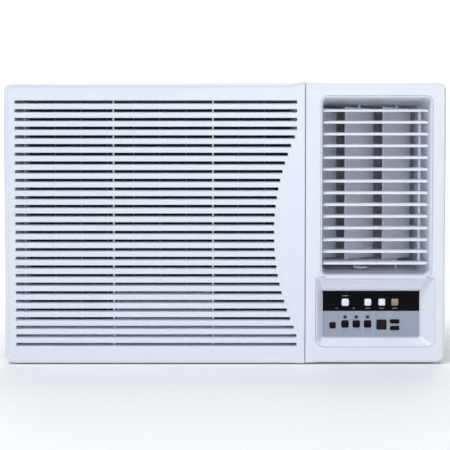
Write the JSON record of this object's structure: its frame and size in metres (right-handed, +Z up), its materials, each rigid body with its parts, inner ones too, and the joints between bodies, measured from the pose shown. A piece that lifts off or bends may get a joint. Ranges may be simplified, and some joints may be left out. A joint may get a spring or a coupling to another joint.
{
  "type": "window air conditioner",
  "caption": "Box-shaped window air conditioner with a slotted hinged intake cover, swinging discharge vanes and blades, a recessed control panel and a full cooling circuit.",
  "frame": {"origin": "under the middle of the base, on the plane it rests on", "axes": "+Z up, -Y out of the front face into the room, +X to the right as seen from the room"},
  "size_m": [0.66, 0.68, 0.422],
  "materials": {
    "white_shell": "cool white ABS, satin",
    "black_gloss": "piano black overlay",
    "dark_window": "dark smoked window",
    "amber_key": "translucent amber",
    "grey_plastic": "moulded, satin",
    "filter_grey": "woven filter net in a frame",
    "duct_foam": "moulded foam and polystyrene",
    "board_green": "circuit board with parts",
    "cabinet_paint": "powder-coated steel",
    "galvanised_steel": "galvanised sheet",
    "aluminium_fin": "thin pressed fins",
    "copper_tube": "drawn copper",
    "black_paint": "black enamel",
    "black_rubber": "moulded rubber",
    "light_guide": "clear light guide"
  },
  "bodies": {
    "root": {"cabinet": "cabinet_paint", "base_pan": "galvanised_steel", "front_frame": "white_shell", "air_filter": "filter_grey", "deodorising_cartridge": "grey_plastic", "evaporator_coil": "aluminium_fin", "drain_tray": "duct_foam", "blower_scroll": "duct_foam", "discharge_duct": "duct_foam", "bulkhead": "galvanised_steel", "fan_motor": "black_paint", "motor_bracket": "galvanised_steel", "fan_shroud": "galvanised_steel", "condenser_coil": "aluminium_fin", "compressor": "black_paint", "accumulator": "black_paint", "discharge_pipe": "copper_tube", "suction_pipe": "copper_tube", "control_overlay": "black_gloss", "control_board": "board_green", "display_window": "dark_window", "receiver_window": "dark_window", "indicator_lights": "light_guide", "capacitor": "aluminium_fin", "swing_motor": "galvanised_steel", "cord_grommet": "black_rubber"},
    "grille": {"intake_grille": "white_shell"},
    "blade_01": {"blade_01": "white_shell"},
    "blade_02": {"blade_02": "white_shell"},
    "blade_03": {"blade_03": "white_shell"},
    "blade_04": {"blade_04": "white_shell"},
    "blade_05": {"blade_05": "white_shell"},
    "blade_06": {"blade_06": "white_shell"},
    "blade_07": {"blade_07": "white_shell"},
    "blade_08": {"blade_08": "white_shell"},
    "blade_09": {"blade_09": "white_shell"},
    "blade_10": {"blade_10": "white_shell"},
    "blade_11": {"blade_11": "white_shell"},
    "blade_12": {"blade_12": "white_shell"},
    "blade_13": {"blade_13": "white_shell"},
    "blade_14": {"blade_14": "white_shell"},
    "blade_link": {"blade_link": "white_shell"},
    "vane_1": {"vane_1": "grey_plastic"},
    "vane_2": {"vane_2": "grey_plastic"},
    "vane_3": {"vane_3": "grey_plastic"},
    "vane_link": {"vane_link": "grey_plastic"},
    "swing_crank": {"swing_crank": "white_shell"},
    "fan_rotor": {"blower_wheel": "black_paint", "condenser_fan": "grey_plastic", "fan_shaft": "galvanised_steel"},
    "vent_slider": {"vent_slider": "white_shell"},
    "vent_door": {"vent_door": "grey_plastic"},
    "fan_speed_button": {"fan_speed_button": "white_shell"},
    "mode_button": {"mode_button": "white_shell"},
    "power_button": {"power_button": "amber_key"},
    "soft_key_1": {"soft_key_1": "black_gloss"},
    "soft_key_2": {"soft_key_2": "black_gloss"},
    "soft_key_3": {"soft_key_3": "black_gloss"},
    "temp_up_key": {"temp_up_key": "black_gloss"},
    "temp_down_key": {"temp_down_key": "black_gloss"}
  },
  "joints": [
    {"name": "grille_hinge", "type": "hinge", "parent": "root", "child": "grille", "pos_m": [-0.105, -0.311, 0.417], "axis": [-1, 0, 0], "range_deg": [0, 85]},
    {"name": "blade_01_tilt", "type": "hinge", "parent": "root", "child": "blade_01", "pos_m": [0.225, -0.322, 0.3815], "axis": [1, 0, 0], "range_deg": [-28, 28]},
    {"name": "blade_02_tilt", "type": "hinge", "parent": "root", "child": "blade_02", "pos_m": [0.225, -0.322, 0.3639], "axis": [1, 0, 0], "range_deg": [-28, 28]},
    {"name": "blade_03_tilt", "type": "hinge", "parent": "root", "child": "blade_03", "pos_m": [0.225, -0.322, 0.3463], "axis": [1, 0, 0], "range_deg": [-28, 28]},
    {"name": "blade_04_tilt", "type": "hinge", "parent": "root", "child": "blade_04", "pos_m": [0.225, -0.322, 0.3287], "axis": [1, 0, 0], "range_deg": [-28, 28]},
    {"name": "blade_05_tilt", "type": "hinge", "parent": "root", "child": "blade_05", "pos_m": [0.225, -0.322, 0.3111], "axis": [1, 0, 0], "range_deg": [-28, 28]},
    {"name": "blade_06_tilt", "type": "hinge", "parent": "root", "child": "blade_06", "pos_m": [0.225, -0.322, 0.2935], "axis": [1, 0, 0], "range_deg": [-28, 28]},
    {"name": "blade_07_tilt", "type": "hinge", "parent": "root", "child": "blade_07", "pos_m": [0.225, -0.322, 0.2759], "axis": [1, 0, 0], "range_deg": [-28, 28]},
    {"name": "blade_08_tilt", "type": "hinge", "parent": "root", "child": "blade_08", "pos_m": [0.225, -0.322, 0.2583], "axis": [1, 0, 0], "range_deg": [-28, 28]},
    {"name": "blade_09_tilt", "type": "hinge", "parent": "root", "child": "blade_09", "pos_m": [0.225, -0.322, 0.2407], "axis": [1, 0, 0], "range_deg": [-28, 28]},
    {"name": "blade_10_tilt", "type": "hinge", "parent": "root", "child": "blade_10", "pos_m": [0.225, -0.322, 0.2231], "axis": [1, 0, 0], "range_deg": [-28, 28]},
    {"name": "blade_11_tilt", "type": "hinge", "parent": "root", "child": "blade_11", "pos_m": [0.225, -0.322, 0.2055], "axis": [1, 0, 0], "range_deg": [-28, 28]},
    {"name": "blade_12_tilt", "type": "hinge", "parent": "root", "child": "blade_12", "pos_m": [0.225, -0.322, 0.1879], "axis": [1, 0, 0], "range_deg": [-28, 28]},
    {"name": "blade_13_tilt", "type": "hinge", "parent": "root", "child": "blade_13", "pos_m": [0.225, -0.322, 0.1703], "axis": [1, 0, 0], "range_deg": [-28, 28]},
    {"name": "blade_14_tilt", "type": "hinge", "parent": "root", "child": "blade_14", "pos_m": [0.225, -0.322, 0.1527], "axis": [1, 0, 0], "range_deg": [-28, 28]},
    {"name": "blade_link_pivot", "type": "hinge", "parent": "blade_01", "child": "blade_link", "pos_m": [0.2945, -0.30752, 0.38226], "axis": [1, 0, 0], "range_deg": [-28, 28]},
    {"name": "vane_1_swing", "type": "hinge", "parent": "root", "child": "vane_1", "pos_m": [0.1505, -0.262, 0.27], "axis": [0, 0, 1], "range_deg": [0, 90]},
    {"name": "vane_2_swing", "type": "hinge", "parent": "root", "child": "vane_2", "pos_m": [0.2085, -0.262, 0.27], "axis": [0, 0, 1], "range_deg": [0, 90]},
    {"name": "vane_3_swing", "type": "hinge", "parent": "root", "child": "vane_3", "pos_m": [0.2665, -0.262, 0.27], "axis": [0, 0, 1], "range_deg": [0, 90]},
    {"name": "vane_link_pivot", "type": "hinge", "parent": "vane_1", "child": "vane_link", "pos_m": [0.14202, -0.27048, 0.151], "axis": [0, 0, 1], "range_deg": [-90, 0]},
    {"name": "swing_crank_turn", "type": "hinge", "parent": "root", "child": "swing_crank", "pos_m": [0.2085, -0.285, 0.141], "axis": [0, 0, 1], "range_deg": [0, 180]},
    {"name": "fan_spin", "type": "hinge", "parent": "root", "child": "fan_rotor", "pos_m": [-0.0595, -0.02, 0.215], "axis": [0, 1, 0], "continuous": true},
    {"name": "vent_slide", "type": "slide", "parent": "root", "child": "vent_slider", "axis": [1, 0, 0], "range_m": [-0.005, 0.005]},
    {"name": "vent_door_hinge", "type": "hinge", "parent": "root", "child": "vent_door", "pos_m": [0.165, -0.0705, 0.364], "axis": [1, 0, 0], "range_deg": [-15, 15]},
    {"name": "fan_speed_press", "type": "slide", "parent": "root", "child": "fan_speed_button", "axis": [0, 1, 0], "range_m": [0, 0.0013], "stiffness_N_per_m": 600, "springref_m": -0.0005},
    {"name": "mode_press", "type": "slide", "parent": "root", "child": "mode_button", "axis": [0, 1, 0], "range_m": [0, 0.0013], "stiffness_N_per_m": 600, "springref_m": -0.0005},
    {"name": "power_press", "type": "slide", "parent": "root", "child": "power_button", "axis": [0, 1, 0], "range_m": [0, 0.0013], "stiffness_N_per_m": 600, "springref_m": -0.0005},
    {"name": "soft_key_1_press", "type": "slide", "parent": "root", "child": "soft_key_1", "axis": [0, 1, 0], "range_m": [0, 0.0008], "stiffness_N_per_m": 800, "springref_m": -0.0005},
    {"name": "soft_key_2_press", "type": "slide", "parent": "root", "child": "soft_key_2", "axis": [0, 1, 0], "range_m": [0, 0.0008], "stiffness_N_per_m": 800, "springref_m": -0.0005},
    {"name": "soft_key_3_press", "type": "slide", "parent": "root", "child": "soft_key_3", "axis": [0, 1, 0], "range_m": [0, 0.0008], "stiffness_N_per_m": 800, "springref_m": -0.0005},
    {"name": "temp_up_key_press", "type": "slide", "parent": "root", "child": "temp_up_key", "axis": [0, 1, 0], "range_m": [0, 0.0008], "stiffness_N_per_m": 800, "springref_m": -0.0005},
    {"name": "temp_down_key_press", "type": "slide", "parent": "root", "child": "temp_down_key", "axis": [0, 1, 0], "range_m": [0, 0.0008], "stiffness_N_per_m": 800, "springref_m": -0.0005}
  ],
  "couplings": [
    {"joint": "blade_02_tilt", "follows": "blade_01_tilt", "ratio": 1},
    {"joint": "blade_03_tilt", "follows": "blade_01_tilt", "ratio": 1},
    {"joint": "blade_04_tilt", "follows": "blade_01_tilt", "ratio": 1},
    {"joint": "blade_05_tilt", "follows": "blade_01_tilt", "ratio": 1},
    {"joint": "blade_06_tilt", "follows": "blade_01_tilt", "ratio": 1},
    {"joint": "blade_07_tilt", "follows": "blade_01_tilt", "ratio": 1},
    {"joint": "blade_08_tilt", "follows": "blade_01_tilt", "ratio": 1},
    {"joint": "blade_09_tilt", "follows": "blade_01_tilt", "ratio": 1},
    {"joint": "blade_10_tilt", "follows": "blade_01_tilt", "ratio": 1},
    {"joint": "blade_11_tilt", "follows": "blade_01_tilt", "ratio": 1},
    {"joint": "blade_12_tilt", "follows": "blade_01_tilt", "ratio": 1},
    {"joint": "blade_13_tilt", "follows": "blade_01_tilt", "ratio": 1},
    {"joint": "blade_14_tilt", "follows": "blade_01_tilt", "ratio": 1},
    {"joint": "blade_link_pivot", "follows": "blade_01_tilt", "ratio": -1},
    {"joint": "vane_2_swing", "follows": "vane_1_swing", "ratio": 1},
    {"joint": "vane_3_swing", "follows": "vane_1_swing", "ratio": 1},
    {"joint": "vane_link_pivot", "follows": "vane_1_swing", "ratio": -1},
    {"joint": "swing_crank_turn", "follows": "vane_1_swing", "ratio": 2},
    {"joint": "vent_door_hinge", "follows": "vent_slide", "rad_per_m": 52.36}
  ]
}
